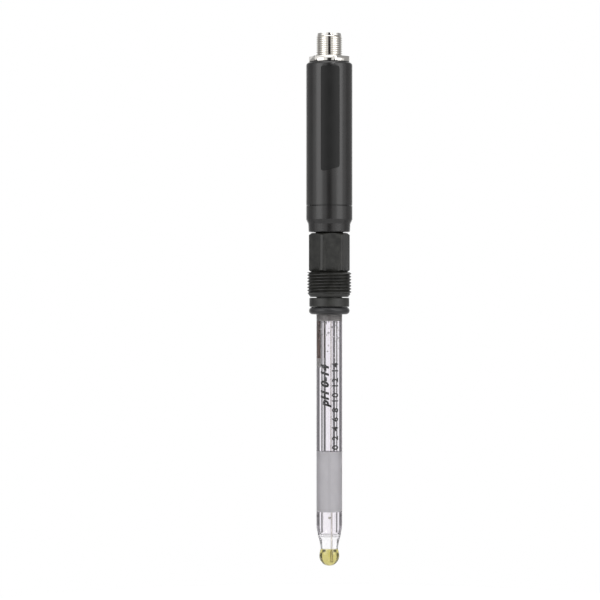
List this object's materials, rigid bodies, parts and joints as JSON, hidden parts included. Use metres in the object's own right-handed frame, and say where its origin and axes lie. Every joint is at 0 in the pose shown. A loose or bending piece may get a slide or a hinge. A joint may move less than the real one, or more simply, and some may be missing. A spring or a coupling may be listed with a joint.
{
  "type": "ph electrode",
  "caption": "Combination pH glass electrode with a 12 mm shaft, process thread and screw-on transmitter head with a round plug connector.",
  "frame": {"origin": "on the axis, at the thrust collar's lower face, from which the insertion length of 120 mm is measured", "axes": "+Z along the axis, from the glass tip towards the plug connector; the label window faces -Y"},
  "size_m": [0.0214, 0.0214, 0.2467],
  "materials": {
    "clear_glass": "drawn and flame-worked, clear",
    "membrane_glass": "blown, tinted yellow",
    "clear_gel": "clear watery gel",
    "salt_gel": "milky gel full of salt",
    "moulded_black": "moulded, satin",
    "housing_black": "moulded, satin",
    "label_black": "matt film",
    "seal_rubber": "moulded",
    "stainless_steel": "turned",
    "nickel_plate": "nickel-plated, bright",
    "gold_plate": "gold-plated",
    "silver": "silver with a chloride coat",
    "white_insulator": "turned",
    "black_insulator": "moulded",
    "grey_resin": "cast resin",
    "brown_cartridge": "filled tube",
    "porous_plug": "fibre",
    "ceramic": "fired, porous",
    "board_green": "solder mask"
  },
  "bodies": {
    "electrode": {"screw_head": "moulded_black", "reference_contact": "stainless_steel", "contact_insulator": "white_insulator", "measuring_contact": "gold_plate", "head_potting": "grey_resin", "thrust_collar": "moulded_black", "sealing_ring": "seal_rubber", "annulus_plug": "grey_resin", "glass_shaft": "clear_glass", "inner_stem": "clear_glass", "ph_membrane": "membrane_glass", "buffer_solution": "clear_gel", "measuring_electrode": "silver", "reference_cartridge": "brown_cartridge", "cartridge_plug": "porous_plug", "reference_lead": "silver", "upper_gel": "clear_gel", "salt_filling": "salt_gel", "lower_gel": "clear_gel", "ceramic_junctions": "ceramic"},
    "head": {"upper_housing": "housing_black", "label_plate": "label_black", "flange_gasket": "seal_rubber", "connector_shell": "nickel_plate", "connector_insert": "black_insulator", "connector_pins": "gold_plate", "connector_board": "board_green", "main_board": "board_green", "microcontroller": "black_insulator", "input_amplifier": "black_insulator", "signal_isolator": "black_insulator", "socket_carrier": "black_insulator", "ring_contact": "gold_plate", "centre_contact": "gold_plate", "coupling_seal": "seal_rubber"},
    "nut": {"coupling_nut": "housing_black"}
  },
  "joints": [
    {"name": "head_lift", "type": "slide", "parent": "electrode", "child": "head", "axis": [0, 0, 1], "range_m": [0, 0.0056]},
    {"name": "nut_turn", "type": "hinge", "parent": "head", "child": "nut", "pos_m": [0, 0, 0.04], "axis": [0, 0, 1], "range_deg": [0, 840]}
  ],
  "couplings": [
    {"joint": "nut_turn", "follows": "head_lift", "rad_per_m": 2618}
  ]
}
